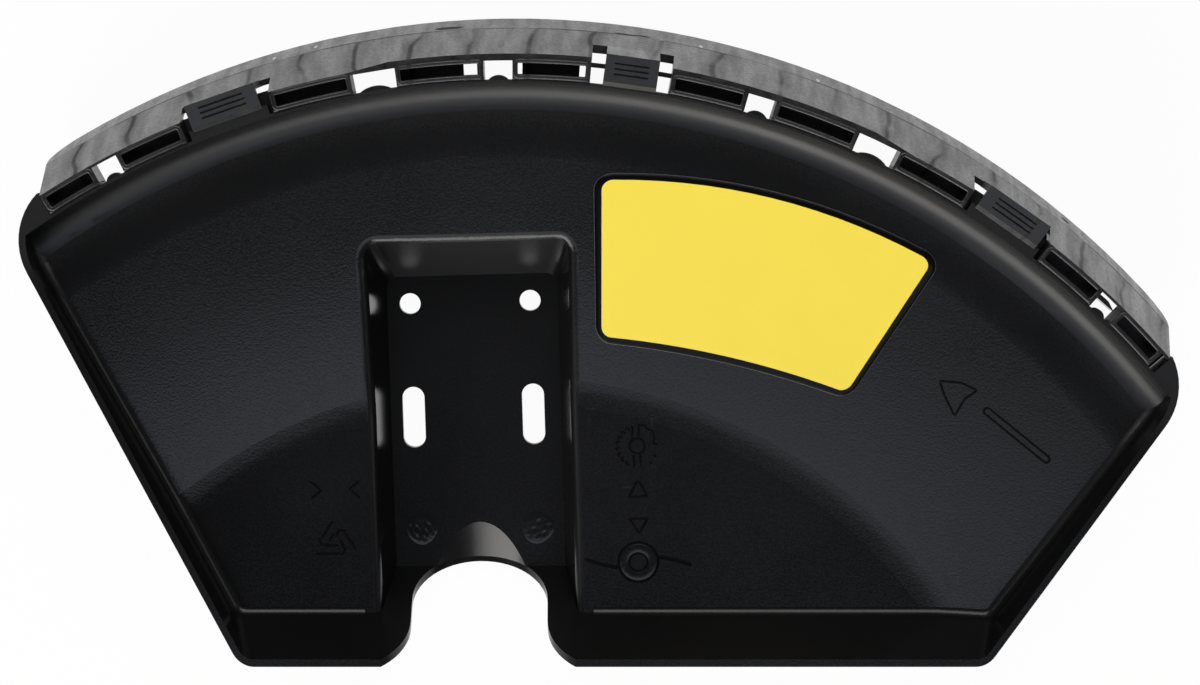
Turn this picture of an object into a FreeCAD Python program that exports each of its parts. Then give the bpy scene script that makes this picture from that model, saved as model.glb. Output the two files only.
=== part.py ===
import FreeCAD
import Part
import math
import os

# Guard of a garden trimmer: a moulded tray with a sunk mounting pocket, and a skirt clipped along its arc.
# Millimetres. The origin lies midway between the two round screw holes, on the pocket floor's upper face.
# +Z points to the side that the shaft lies on, +Y to the arc, and the sides of the tray run down to -Y.

# Screw holes and slots in the pocket floor
HOLE_SPACING = 40.0
HOLE_DIA = 7.0
SLOT_SETBACK = 38.2
SLOT_WIDTH = 7.4
SLOT_LENGTH = 20.5

# Moulded walls of the tray
WALL = 2.2
RIM_EDGE = 1.0
FLOOR_THICK = 2.6

# Heights above the pocket floor
RIM_Z = 45.0
PLATE_Z = 23.0

# Arc shared by the tray and the skirt
ARC_X = 9.7
ARC_Y = -197.0
ARC_R = 270.6
ARC_FILLET = 10.0
END_STEP = 9.6

# Crease of the plate: flat inside it, and a ring that rises gently to the arc wall outside it
RING_WIDTH = 100.6
CREASE_BEND_R = 80.0
RING_SLOPE = 6.3

# Straight sides of the rim: direction of the outward normal, reach from the origin, draft of the wall
LEFT_ANGLE = 205.8
LEFT_REACH = 117.1
RIGHT_ANGLE = -37.1
RIGHT_REACH = 203.2
LEFT_DRAFT = 1.5
RIGHT_DRAFT = 6.0
BASE_ANGLE = 268.4
BASE_REACH = 113.9
BASE_DRAFT = 26.3

# Plan corners of the rim, at the arc's ends and at the base
END_CORNER_R = 22.0
BASE_CORNER_R = 7.0

# Mounting pocket
POCKET_OFFSET = 0.8
POCKET_WIDTH = 56.8
POCKET_TOP_Y = 9.1
POCKET_SIDE_DRAFT = 9.5
POCKET_TOP_DRAFT = 26.0
POCKET_CORNER_R = 4.0

# Notch for the shaft and the groove that leads to it
NOTCH_R = 22.4
NOTCH_FLARE_WIDTH = 9.0
NOTCH_FLARE_DEPTH = 18.0
GROOVE_DEPTH = 6.0
GROOVE_RUN = 15.0

# Rounded inner edges of the tray
EDGE_R = 3.0
MOUTH_R = 3.5

# Skirt: its middle direction from +Y, its reach to each side, its wall and lip
SKIRT_MID_ANGLE = 9.8
SKIRT_HALF_ANGLE = 40.7
SKIRT_RISE = 1.0
SKIRT_STANDOFF = 9.2
SKIRT_STEP = 1.4
SKIRT_WALL = 2.4
LEDGE_WIDTH = 2.2
LEDGE_DEPTH = 3.0
LIP_TOP_Z = 6.0
WALL_LEAN = 7.8
SKIRT_BOTTOM_Z = -12.0
LIP_LEAN = 3.0
SKIRT_CORNER_R = 12.0
STEP_START_ANGLE = 16.2
STEP_END_ANGLE = 19.0

# Clip row: its middle direction from +Y, then its closed cells, the open windows and tab notches between them
# and the vents in some cell floors, in degrees from that middle
CLIP_MID_ANGLE = 9.5
CELLS = ((2.65, 7.8), (9.7, 15.5), (18.45, 23.9), (30.0, 34.7), (36.5, 40.4))
WINDOWS = ((8.0, 9.5), (15.8, 18.2), (35.0, 36.2))
TAB_NOTCHES = ((0.0, 2.65), (26.95, 3.05))
VENTS = ((-11.1, -10.2), (-7.7, -7.2), (-3.4, -3.0))
RIB_WALL = 1.5
CELL_HEIGHT = 12.0
CELL_FLOOR = 1.8
LUG_HEIGHT = 3.0
LUG_DROP = 1.5
LUG_REACH = 1.4

# Snap tabs, the middle one and the outer two: each has a plate that lies over the rim and a bridge behind it,
# whose radii are counted from the arc wall's inner face
TAB_WIDTHS = (17.0, 23.0)
TAB_PLATES = ((2.0, 10.7), (4.4, 11.8))
TAB_BRIDGES = ((5.8, 7.3), (0.3, 8.4))
TAB_HEIGHT = 18.0
TAB_THICK = 2.2
TAB_LIFT = 3.4
TAB_FALL = 1.3
TAB_NOSE = 1.4
CATCH_REACH = 3.2
CATCH_HEIGHT = 3.0
CATCH_WIDTH = 26.0
GRIP_COUNT = 3
GRIP_PITCH = 1.7
GRIP_WIDTH = 0.8
GRIP_DEPTH = 0.6
GRIP_RATIO = 0.64

# Line cutter: a flat knife screwed to a pad inside the skirt
CUTTER_ANGLE = 33.0
CUTTER_LENGTH = 36.0
CUTTER_WIDTH = 14.0
CUTTER_THICK = 1.6
CUTTER_BEVEL = 4.0
CUTTER_OVERHANG = 9.0
PAD_DEPTH = 7.0
SCREW_PITCH = 14.0
SCREW_DIA = 3.5
SCREW_LENGTH = 8.0
SCREW_HEAD_DIA = 7.0
SCREW_HEAD_HEIGHT = 2.4
SCREW_CROWN = 0.9

# Label on the plate: the insets of its corners from the arc and their angles from +Y, from the lower left one
# round by the top, and the bulge of its two long edges
LABEL_THICK = 0.25
LABEL_CORNERS = ((82.9, 9.78), (28.0, 7.75), (16.2, 34.61), (71.2, 34.69))
LABEL_TOP_BULGE = 8.4
LABEL_BASE_BULGE = 2.8
LABEL_CORNER_R = 5.5

# Clearance between parts that clip together, overlap that makes a cut or a union clean, and touching distance
CLEAR = 0.3
OVER = 1.0
TOUCH = 0.001

# Radii and heights that follow from the values above
END_ARC_R = ARC_R + END_STEP
CREASE_R = ARC_R - RING_WIDTH
SKIRT_R = ARC_R + SKIRT_STANDOFF
LIP_TOP_R = SKIRT_R + WALL_LEAN
SKIRT_BOTTOM_R = LIP_TOP_R + LIP_LEAN
SKIRT_TOP_Z = RIM_Z + SKIRT_RISE
TAB_ROOT_Z = RIM_Z - TAB_HEIGHT
ARC_CENTRE = FreeCAD.Vector(ARC_X, ARC_Y, 0)
UP = FreeCAD.Vector(0, 0, 1)
LOW_Z = -GROOVE_DEPTH - WALL - OVER
TOP_Z = RIM_Z + LUG_DROP


def unit(degrees):
    """Plan direction at an angle from +X."""
    return FreeCAD.Vector(math.cos(math.radians(degrees)), math.sin(math.radians(degrees)), 0)


def at(point, z):
    """The plan point lifted to a height."""
    return FreeCAD.Vector(point.x, point.y, z)


def line_edge(start, end):
    """Straight edge between two points."""
    return Part.LineSegment(start, end).toShape()


def arc_edge(start, middle, end):
    """Circular edge through three points."""
    return Part.Arc(start, middle, end).toShape()


def polygon_face(points):
    """Flat face bounded by straight edges."""
    return Part.Face(Part.makePolygon(list(points) + [points[0]]))


def on_arc(r, z):
    """Point at a radius and a height, straight towards +Y from the arc centre."""
    return ARC_CENTRE + FreeCAD.Vector(0, r, z)


def cross_section(points):
    """Flat face from (radius, height) pairs, standing on the arc centre in the plane towards +Y."""
    return polygon_face([on_arc(r, z) for r, z in points])


def sweep(face, start, end):
    """Turn a section about the arc centre, from one angle to another, measured clockwise from +Y."""
    turned = face.copy()
    turned.rotate(ARC_CENTRE, UP, -end)
    return turned.revolve(ARC_CENTRE, UP, end - start)


def frustum(low, high):
    """Solid with flat sides between two polygons with matching corners, listed anticlockwise from above."""
    faces = [polygon_face(low[::-1]), polygon_face(high)]
    for i in range(len(low)):
        faces.append(polygon_face([low[i - 1], low[i], high[i], high[i - 1]]))
    return Part.Solid(Part.Shell(faces))


def upright_edges(shape, low_y, high_y):
    """Edges that rise from one height to another, with their middle in a band of Y."""
    return [e for e in shape.Edges
            if abs(e.Vertexes[0].Z - e.Vertexes[-1].Z) > OVER and low_y < e.CenterOfMass.y < high_y]


def meet(first, second):
    """Plan point where two straight sides cross; each is an outward normal and a reach from the origin."""
    (n1, r1), (n2, r2) = first, second
    det = n1.x * n2.y - n1.y * n2.x
    return FreeCAD.Vector((r1 * n2.y - r2 * n1.y) / det, (n1.x * r2 - n2.x * r1) / det, 0)


def side_at(direction, reach, draft, z, grow):
    """Straight side of the tray at a height: its outward normal and its reach from the origin."""
    tilt = math.radians(draft)
    inset = (WALL - grow) / math.cos(tilt) + (RIM_Z - z) * math.tan(tilt)
    return unit(direction), reach - inset


def side_corners(z, grow):
    """Plan corners of the three straight sides at a height, closed by a line past the arc."""
    left = side_at(LEFT_ANGLE, LEFT_REACH, LEFT_DRAFT, z, grow)
    right = side_at(RIGHT_ANGLE, RIGHT_REACH, RIGHT_DRAFT, z, grow)
    base = side_at(BASE_ANGLE, BASE_REACH, BASE_DRAFT, z, grow)
    far = unit(90), ARC_Y + END_ARC_R + OVER
    return [at(meet(*pair), z) for pair in ((left, base), (base, right), (right, far), (far, left))]


def side_form(grow):
    """Block inside the tray's sides; grow 0 is the inner face, past the rim, and grow WALL the outer one."""
    top = RIM_Z if grow else TOP_Z
    block = frustum(side_corners(LOW_Z, grow), side_corners(top, grow))
    arc = Part.makeCylinder(END_ARC_R - WALL + grow, TOP_Z - LOW_Z, ARC_CENTRE + UP * LOW_Z)
    block = block.common(arc)
    half_way = -BASE_REACH / 2
    block = block.makeFillet(BASE_CORNER_R - WALL + grow, upright_edges(block, -2 * BASE_REACH, half_way))
    return block.makeFillet(END_CORNER_R - WALL + grow, upright_edges(block, half_way, BASE_REACH))


def ring_height(r, grow):
    """Height of the plate's rising ring at a radius; grow 0 is its upper face and grow WALL its lower one."""
    slope = math.radians(RING_SLOPE)
    return PLATE_Z + (r - CREASE_R) * math.tan(slope) - grow / math.cos(slope)


def plate_form(grow):
    """Space above the plate: flat inside the crease, a gentle bend there, and a rising cone outside it."""
    slope = math.radians(RING_SLOPE)
    level = PLATE_Z - grow
    bend_r = CREASE_BEND_R + grow
    reach = CREASE_BEND_R * math.tan(slope / 2)
    start_r = CREASE_R - reach
    far = END_ARC_R + ARC_FILLET
    high = TOP_Z + OVER
    start = on_arc(start_r, level)
    middle = on_arc(start_r + bend_r * math.sin(slope / 2), level + bend_r * (1 - math.cos(slope / 2)))
    end = on_arc(start_r + bend_r * math.sin(slope), level + bend_r * (1 - math.cos(slope)))
    wire = Part.Wire([
        line_edge(on_arc(0, level), start), arc_edge(start, middle, end),
        line_edge(end, on_arc(far, ring_height(far, grow))),
        line_edge(on_arc(far, ring_height(far, grow)), on_arc(far, high)),
        line_edge(on_arc(far, high), on_arc(0, high)), line_edge(on_arc(0, high), on_arc(0, level))])
    return sweep(Part.Face(wire), -180, 180)


def seat_form(grow):
    """Ring outside the arc wall, with the wall's rounded foot. In the outer form it is only where the skirt
    sits, and it leaves a thin edge at the rim there."""
    slope = math.radians(RING_SLOPE)
    face_r = ARC_R + RIM_EDGE if grow else ARC_R
    fillet = ARC_FILLET + grow
    far = END_ARC_R + 2 * ARC_FILLET
    high = TOP_Z + OVER
    centre_r = ARC_R - ARC_FILLET
    centre_z = ring_height(centre_r, grow) + fillet / math.cos(slope)
    foot = on_arc(centre_r + fillet * math.sin(slope), centre_z - fillet * math.cos(slope))
    dip = math.acos((face_r - centre_r) / fillet)
    bend = (math.pi / 2 - slope + dip) / 2
    middle = on_arc(centre_r + fillet * math.cos(bend), centre_z - fillet * math.sin(bend))
    spring = on_arc(face_r, centre_z - fillet * math.sin(dip))
    bottom = LOW_Z - OVER if grow else foot.z - OVER
    under_foot = on_arc(foot.y - ARC_Y, bottom)
    face = Part.Face(Part.Wire([
        arc_edge(foot, middle, spring), line_edge(spring, on_arc(face_r, high)),
        line_edge(on_arc(face_r, high), on_arc(far, high)), line_edge(on_arc(far, high), on_arc(far, bottom)),
        line_edge(on_arc(far, bottom), under_foot), line_edge(under_foot, foot)]))
    if not grow:
        return sweep(face, -180, 180)
    half = SKIRT_HALF_ANGLE + math.degrees(CLEAR / SKIRT_R)
    return sweep(face, SKIRT_MID_ANGLE - half, SKIRT_MID_ANGLE + half)


def pocket_corners(z, grow):
    """Plan corners of the pocket at a height; its lower side lies past the tray's base wall."""
    side = math.radians(POCKET_SIDE_DRAFT)
    slope = math.radians(POCKET_TOP_DRAFT)
    half = POCKET_WIDTH / 2 + z * math.tan(side) + grow / math.cos(side)
    top = POCKET_TOP_Y + z * math.tan(slope) + grow / math.cos(slope)
    low = -BASE_REACH - POCKET_WIDTH
    corners = ((-half, low), (half, low), (half, top), (-half, top))
    return [FreeCAD.Vector(POCKET_OFFSET + x, y, z) for x, y in corners]


def pocket_block(grow):
    """Drafted block of the mounting pocket, with its two upper corners rounded."""
    floor = -FLOOR_THICK if grow else 0.0
    block = frustum(pocket_corners(floor, grow), pocket_corners(ring_height(ARC_R, 0), grow))
    return block.makeFillet(POCKET_CORNER_R + grow, upright_edges(block, 0, BASE_REACH))


def shared_edges(shape, first, second):
    """Edges of a shape whose middle lies on the surfaces of both given solids."""
    found = []
    for edge in shape.Edges:
        middle = Part.Vertex(edge.valueAt((edge.FirstParameter + edge.LastParameter) / 2))
        gaps = [solid.Shells[0].distToShape(middle)[0] for solid in (first, second)]
        if max(gaps) < TOUCH:
            found.append(edge)
    return found


def tray_block(grow):
    """Space inside the sides and above the plate, less the skirt's seat; the hollow has a rounded foot."""
    sides = side_form(grow)
    plate = plate_form(grow)
    tray = sides.common(plate)
    if not grow:
        tray = tray.makeFillet(EDGE_R, shared_edges(tray, sides, plate))
    return tray.cut(seat_form(grow))


def rounded_pocket():
    """Hollow of the pocket with its mouth rounded into the plate, ended by the tray's base wall."""
    block = pocket_block(0)
    plate = plate_form(0)
    near = Part.makeBox(POCKET_WIDTH + 2 * PLATE_Z, 2 * BASE_REACH, TOP_Z + 2 * OVER)
    near.translate(FreeCAD.Vector(POCKET_OFFSET - POCKET_WIDTH / 2 - PLATE_Z, -BASE_REACH - PLATE_Z, -OVER))
    pocket = plate.common(near).fuse(block.common(near))
    pocket = pocket.makeFillet(MOUTH_R, shared_edges(pocket, block, plate))
    beside = polygon_face(pocket_corners(ring_height(ARC_R, 0), MOUTH_R)).extrude(UP * (2 * TOP_Z))
    beside.translate(UP * -TOP_Z)
    return pocket.common(beside).common(side_form(0))


def base_face_reach(z):
    """Reach of the base wall's inner face at a height."""
    return side_at(BASE_ANGLE, BASE_REACH, BASE_DRAFT, z, 0)[1]


def groove_end():
    """Point where the groove's lowest line meets the pocket floor's end, below the notch."""
    normal = unit(BASE_ANGLE)
    along = FreeCAD.Vector(-normal.y, normal.x, 0)
    foot = normal * base_face_reach(0)
    return foot + along * ((POCKET_OFFSET - foot.x) / along.x)


def groove_form(grow):
    """Tilted round groove that runs down through the pocket floor to the notch."""
    tilt = math.atan(GROOVE_DEPTH / GROOVE_RUN)
    direction = FreeCAD.Vector(0, math.cos(tilt), math.sin(tilt))
    axis_point = groove_end() + UP * (NOTCH_R / math.cos(tilt) - GROOVE_DEPTH)
    length = 4 * NOTCH_R
    bar = Part.makeCylinder(NOTCH_R + grow, length, axis_point - direction * (length / 2), direction)
    band = Part.makeBox(4 * NOTCH_R, length, OVER - LOW_Z)
    band.translate(FreeCAD.Vector(POCKET_OFFSET - 2 * NOTCH_R, groove_end().y - length / 2, LOW_Z))
    return bar.common(band).common(side_form(grow))


def notch_form():
    """U-shaped cut for the shaft, flared at the rim, on the outer side of the base wall's inner face."""
    axis_z = NOTCH_R - GROOVE_DEPTH
    flare_z = RIM_Z - NOTCH_FLARE_DEPTH
    flare_r = (NOTCH_FLARE_WIDTH ** 2 + NOTCH_FLARE_DEPTH ** 2) / (2 * NOTCH_FLARE_WIDTH)
    half = math.asin(NOTCH_FLARE_DEPTH / flare_r) / 2
    mouth = NOTCH_R + NOTCH_FLARE_WIDTH
    bend_x = NOTCH_R + flare_r * (1 - math.cos(half))
    bend_z = flare_z + flare_r * math.sin(half)
    origin = groove_end() + FreeCAD.Vector(0, GROOVE_RUN, 0)

    def point(x, z):
        return origin + FreeCAD.Vector(x, 0, z)

    left, right = [
        [point(side * mouth, RIM_Z + OVER), point(side * mouth, RIM_Z), point(side * bend_x, bend_z),
         point(side * NOTCH_R, flare_z), point(side * NOTCH_R, axis_z)]
        for side in (-1, 1)]
    wire = Part.Wire([
        line_edge(left[0], left[1]), arc_edge(left[1], left[2], left[3]), line_edge(left[3], left[4]),
        arc_edge(left[4], point(0, -GROOVE_DEPTH), right[4]), line_edge(right[4], right[3]),
        arc_edge(right[3], right[2], right[1]), line_edge(right[1], right[0]), line_edge(right[0], left[0])])
    bar = Part.Face(wire).extrude(FreeCAD.Vector(0, -2 * GROOVE_RUN - RIM_Z, 0))
    normal = unit(BASE_ANGLE)
    along = FreeCAD.Vector(-normal.y, normal.x, 0)
    low = LOW_Z - OVER
    high = RIM_Z + 2 * OVER
    far = BASE_REACH + RIM_Z
    corners = [normal * base_face_reach(low) + UP * low, normal * base_face_reach(high) + UP * high,
               normal * far + UP * high, normal * far + UP * low]
    outside = polygon_face([p - along * RIM_Z for p in corners]).extrude(along * (2 * RIM_Z))
    return bar.common(outside)


def screw_openings():
    """Two round holes and two slots through the pocket floor."""
    deep = FLOOR_THICK + 2 * OVER
    cuts = []
    for x in (-HOLE_SPACING / 2, HOLE_SPACING / 2):
        cuts.append(Part.makeCylinder(HOLE_DIA / 2, deep, FreeCAD.Vector(x, 0, -FLOOR_THICK - OVER)))
        straight = (SLOT_LENGTH - SLOT_WIDTH) / 2
        for end in (-straight, straight):
            spot = FreeCAD.Vector(x, end - SLOT_SETBACK, -FLOOR_THICK - OVER)
            cuts.append(Part.makeCylinder(SLOT_WIDTH / 2, deep, spot))
        corner = FreeCAD.Vector(x - SLOT_WIDTH / 2, -SLOT_SETBACK - straight, -FLOOR_THICK - OVER)
        cuts.append(Part.makeBox(SLOT_WIDTH, 2 * straight, deep, corner))
    return cuts


def both_sides(span):
    """A span of angles and its mirror image about the clip row's middle, as angles from +Y."""
    start, end = span
    return (CLIP_MID_ANGLE + start, CLIP_MID_ANGLE + end), (CLIP_MID_ANGLE - end, CLIP_MID_ANGLE - start)


def lugs():
    """Lens-shaped lugs on the arc wall that stand in the skirt's windows and keep it from sliding round."""
    root = ARC_R + RIM_EDGE / 2
    tip = ARC_R + RIM_EDGE + LUG_REACH
    low = ARC_CENTRE + UP * (RIM_Z - LUG_DROP - LUG_HEIGHT)
    pieces = []
    for first, last in [span for window in WINDOWS for span in both_sides(window)]:
        start, end = low + unit(90 - first) * root, low + unit(90 - last) * root
        middle = low + unit(90 - (first + last) / 2) * tip
        lens = Part.Face(Part.Wire([arc_edge(start, middle, end), line_edge(end, start)]))
        pieces.append(lens.extrude(UP * LUG_HEIGHT))
    return pieces


def catches():
    """Ribs on the arc wall under the plates of the two outer tabs."""
    outer = ARC_R + RIM_EDGE
    root = ARC_R + RIM_EDGE / 2
    low = RIM_Z - CATCH_HEIGHT
    face = cross_section([
        (root, RIM_Z), (outer + CATCH_REACH, RIM_Z), (outer + CATCH_REACH, low), (root, low - CATCH_REACH)])
    half = math.degrees(CATCH_WIDTH / 2 / outer)
    place = TAB_NOTCHES[1][0]
    return [sweep(face, *span) for span in both_sides((place - half, place + half))]


def guard_body():
    """Moulded tray: outer form less inner form, with the notch, the screw openings and the window lugs."""
    outer = tray_block(WALL).fuse([pocket_block(WALL).common(side_form(WALL)), groove_form(WALL)])
    hollow = tray_block(0).fuse([rounded_pocket(), groove_form(0)])
    body = outer.cut(hollow).cut([notch_form()] + screw_openings())
    return body.fuse(lugs() + catches()).removeSplitter()


def skirt_section(step):
    """Section of the skirt's wall: ledge at the top, leaning wall, and a lip that flares more."""
    ledge = SKIRT_R - LEDGE_WIDTH
    return cross_section([
        (SKIRT_R - step, SKIRT_TOP_Z), (LIP_TOP_R, LIP_TOP_Z), (SKIRT_BOTTOM_R, SKIRT_BOTTOM_Z),
        (SKIRT_BOTTOM_R - SKIRT_WALL, SKIRT_BOTTOM_Z), (LIP_TOP_R - SKIRT_WALL, LIP_TOP_Z),
        (ledge, SKIRT_TOP_Z - LEDGE_DEPTH), (ledge, SKIRT_TOP_Z)])


def step_piece(span):
    """Short stretch where the ledge moves from the middle radius to that of the ends."""
    wires = []
    for angle, step in zip(span, (0.0, SKIRT_STEP)):
        wire = skirt_section(step).OuterWire
        wire.rotate(ARC_CENTRE, UP, -angle)
        wires.append(wire)
    return Part.makeLoft(wires, True, True)


def skirt_wall():
    """Wall of the skirt in five stretches, with rounded lower corners at its ends."""
    turn = SKIRT_MID_ANGLE
    pieces = [sweep(skirt_section(0.0), turn - STEP_START_ANGLE, turn + STEP_START_ANGLE)]
    for side in (1, -1):
        pieces.append(step_piece((turn + side * STEP_START_ANGLE, turn + side * STEP_END_ANGLE)))
        ends = sorted((turn + side * STEP_END_ANGLE, turn + side * SKIRT_HALF_ANGLE))
        end_piece = sweep(skirt_section(SKIRT_STEP), *ends)
        pieces.append(round_lower_corner(end_piece, turn + side * SKIRT_HALF_ANGLE))
    return pieces[0].fuse(pieces[1:])


def round_lower_corner(piece, angle):
    """Round the wall's lower corner at the end that lies at this angle."""
    tip = ARC_CENTRE + unit(90 - angle) * (SKIRT_BOTTOM_R - SKIRT_WALL / 2) + UP * SKIRT_BOTTOM_Z
    corner = [e for e in piece.Edges if e.CenterOfMass.distanceToPoint(tip) < SKIRT_WALL / 4]
    return piece.makeFillet(SKIRT_CORNER_R, corner)


def radius_at_wall(z, step):
    """Radius of the skirt wall's outer face at a height above the lip."""
    share = (SKIRT_TOP_Z - z) / (SKIRT_TOP_Z - LIP_TOP_Z)
    return SKIRT_R - step + share * (LIP_TOP_R - SKIRT_R + step)


def cell_parts():
    """Ribs at both ends of each cell, and the floor between them, which tucks in under the rim's edge. At the
    right end a longer floor closes the row."""
    inner = ARC_R + RIM_EDGE + TOUCH
    tucked = ARC_R + CLEAR
    bottom = SKIRT_TOP_Z - CELL_HEIGHT
    sunk = (LEDGE_WIDTH - SKIRT_STEP) / 2
    rib_turn = math.degrees(RIB_WALL / SKIRT_R)
    parts = []
    for start, end in CELLS:
        step = SKIRT_STEP if start > STEP_START_ANGLE else 0.0
        levels = (bottom, bottom + CELL_FLOOR, SKIRT_TOP_Z)
        low, middle, high = [(radius_at_wall(z, step) - sunk, z) for z in levels]
        rib = cross_section([(inner, bottom), low, high, (inner, SKIRT_TOP_Z)])
        floor = cross_section([(tucked, bottom), low, middle, (tucked, bottom + CELL_FLOOR)])
        for first, last in both_sides((start, end)):
            parts.append(sweep(floor, first, last))
            parts.append(sweep(rib, first, first + rib_turn))
            parts.append(sweep(rib, last - rib_turn, last))
    row_end = CLIP_MID_ANGLE + CELLS[-1][1]
    parts.append(sweep(floor, row_end - rib_turn, SKIRT_MID_ANGLE + SKIRT_HALF_ANGLE))
    return parts


def vents():
    """Cuts through the cell floors next to some of the ribs."""
    low = SKIRT_TOP_Z - CELL_HEIGHT - OVER
    high = low + CELL_FLOOR + 2 * OVER
    ledge = SKIRT_R - LEDGE_WIDTH
    face = cross_section([(ARC_R, low), (ledge, low), (ledge, high), (ARC_R, high)])
    return [sweep(face, CLIP_MID_ANGLE + start, CLIP_MID_ANGLE + end) for start, end in VENTS]


def tab_notch(middle, half):
    """Cut in the wall's upper part on both sides of a tab."""
    face = cross_section([(ARC_R, TAB_ROOT_Z), (END_ARC_R + WALL * 2, TAB_ROOT_Z),
                          (END_ARC_R + WALL * 2, TOP_Z), (ARC_R, TOP_Z)])
    return sweep(face, middle - half, middle + half)


def tab(middle, width, step, plate):
    """Snap tab: a tongue that rises from the wall, with a plate that reaches in over the rim or a catch."""
    root_outer = radius_at_wall(TAB_ROOT_Z, step)
    root_inner = root_outer - TAB_THICK
    plate_inner, plate_outer = [ARC_R + r for r in plate]
    rest = RIM_Z + CLEAR
    top = RIM_Z + TAB_LIFT
    face = cross_section([
        (root_outer, TAB_ROOT_Z), (plate_outer, top), (plate_inner, top - TAB_FALL),
        (plate_inner - TAB_NOSE, rest), (plate_outer - TAB_THICK, rest), (root_inner, TAB_ROOT_Z),
        (root_inner, TAB_ROOT_Z - OVER), (root_outer, TAB_ROOT_Z - OVER)])
    face.translate(FreeCAD.Vector(-width / 2, 0, 0))
    tongue = face.extrude(FreeCAD.Vector(width, 0, 0))
    tongue = tongue.cut(grip_grooves(plate_inner, plate_outer, top, width))
    tongue.rotate(ARC_CENTRE, UP, -middle)
    return tongue


def bridge(middle, half, radii):
    """Bar behind a tab that joins the cells on both sides of it, at the level of their floors."""
    low = SKIRT_TOP_Z - CELL_HEIGHT
    high = low + CELL_FLOOR
    inner, outer = [ARC_R + r for r in radii]
    face = cross_section([(inner, low), (outer, low), (outer, high), (inner, high)])
    reach = half + math.degrees(RIB_WALL / 2 / SKIRT_R)
    return sweep(face, middle - reach, middle + reach)


def grip_grooves(plate_inner, plate_outer, top, width):
    """Row of grooves across a tab's plate, whose top falls towards its inner edge."""
    first = (plate_inner + plate_outer - GRIP_PITCH * (GRIP_COUNT - 1)) / 2
    cuts = []
    for index in range(GRIP_COUNT):
        r = first + index * GRIP_PITCH
        z = top - TAB_FALL * (plate_outer - r) / (plate_outer - plate_inner)
        face = cross_section([
            (r - GRIP_WIDTH, z + GRIP_DEPTH), (r, z - GRIP_DEPTH), (r + GRIP_WIDTH, z + GRIP_DEPTH)])
        face.translate(FreeCAD.Vector(-width * GRIP_RATIO / 2, 0, 0))
        cuts.append(face.extrude(FreeCAD.Vector(width * GRIP_RATIO, 0, 0)))
    return cuts


def cutter_frame(shape):
    """Turn a shape modelled on the line towards +Y from the arc centre to the line cutter's place."""
    shape.rotate(ARC_CENTRE, UP, -(SKIRT_MID_ANGLE + CUTTER_ANGLE))
    return shape


def pad_face_radius():
    """Distance of the cutter pad's flat face from the arc centre."""
    return LIP_TOP_R - SKIRT_WALL - PAD_DEPTH


def pad_shape():
    """Block inside the wall that the line cutter is screwed to, trimmed by the wall's outer face later."""
    width = CUTTER_LENGTH - CUTTER_OVERHANG
    corner = ARC_CENTRE + FreeCAD.Vector(-width / 2, pad_face_radius(), SKIRT_BOTTOM_Z + CLEAR)
    block = Part.makeBox(width, PAD_DEPTH + 2 * SKIRT_WALL, CUTTER_WIDTH + OVER, corner)
    cone = cross_section([(0, SKIRT_BOTTOM_Z), (SKIRT_BOTTOM_R - SKIRT_WALL / 2, SKIRT_BOTTOM_Z),
                          (LIP_TOP_R - SKIRT_WALL / 2, LIP_TOP_Z), (0, LIP_TOP_Z)])
    return cutter_frame(block.common(cone.revolve(ARC_CENTRE, UP, 360)))


def screw_points():
    """Places of the cutter's two screws on the pad face, on the line towards +Y."""
    z = SKIRT_BOTTOM_Z + CLEAR + (CUTTER_WIDTH + OVER) / 2
    return [ARC_CENTRE + FreeCAD.Vector(x, pad_face_radius(), z) for x in (-SCREW_PITCH / 2, SCREW_PITCH / 2)]


def screw_holes(radius):
    """Round bars along both screws, from the screw tip to past the head."""
    length = SCREW_LENGTH + CUTTER_THICK + OVER
    outward = FreeCAD.Vector(0, 1, 0)
    back = outward * (length - SCREW_LENGTH)
    return [Part.makeCylinder(radius, length, p - back, outward) for p in screw_points()]


def extension_skirt():
    """Clip-on skirt: wall, cells, snap tabs with their bridges, and the pad for the line cutter."""
    wall = skirt_wall().fuse(cell_parts()).cut(vents())
    added = [pad_shape()]
    rows = zip(TAB_NOTCHES, TAB_WIDTHS, TAB_PLATES, TAB_BRIDGES, (0.0, SKIRT_STEP))
    for (place, half), width, plate, radii, step in rows:
        for middle in sorted({CLIP_MID_ANGLE + place, CLIP_MID_ANGLE - place}):
            wall = wall.cut(tab_notch(middle, half))
            added += [tab(middle, width, step, plate), bridge(middle, half, radii)]
    skirt = wall.fuse(added)
    return skirt.cut([cutter_frame(bar) for bar in screw_holes(SCREW_DIA / 2)]).removeSplitter()


def line_cutter():
    """Flat steel knife on the pad, bevelled at the end that stands past it."""
    width = CUTTER_LENGTH - CUTTER_OVERHANG
    near = pad_face_radius() - CUTTER_THICK
    low = SKIRT_BOTTOM_Z + CLEAR + OVER / 2
    start = ARC_CENTRE + FreeCAD.Vector(-width / 2, 0, low)

    def point(x, y):
        return start + FreeCAD.Vector(x, y, 0)

    far = near + CUTTER_THICK
    face = polygon_face([
        point(0, near), point(CUTTER_LENGTH, near), point(CUTTER_LENGTH - CUTTER_BEVEL, far), point(0, far)])
    knife = face.extrude(UP * CUTTER_WIDTH).cut(screw_holes(SCREW_DIA / 2))
    return cutter_frame(knife)


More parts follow.
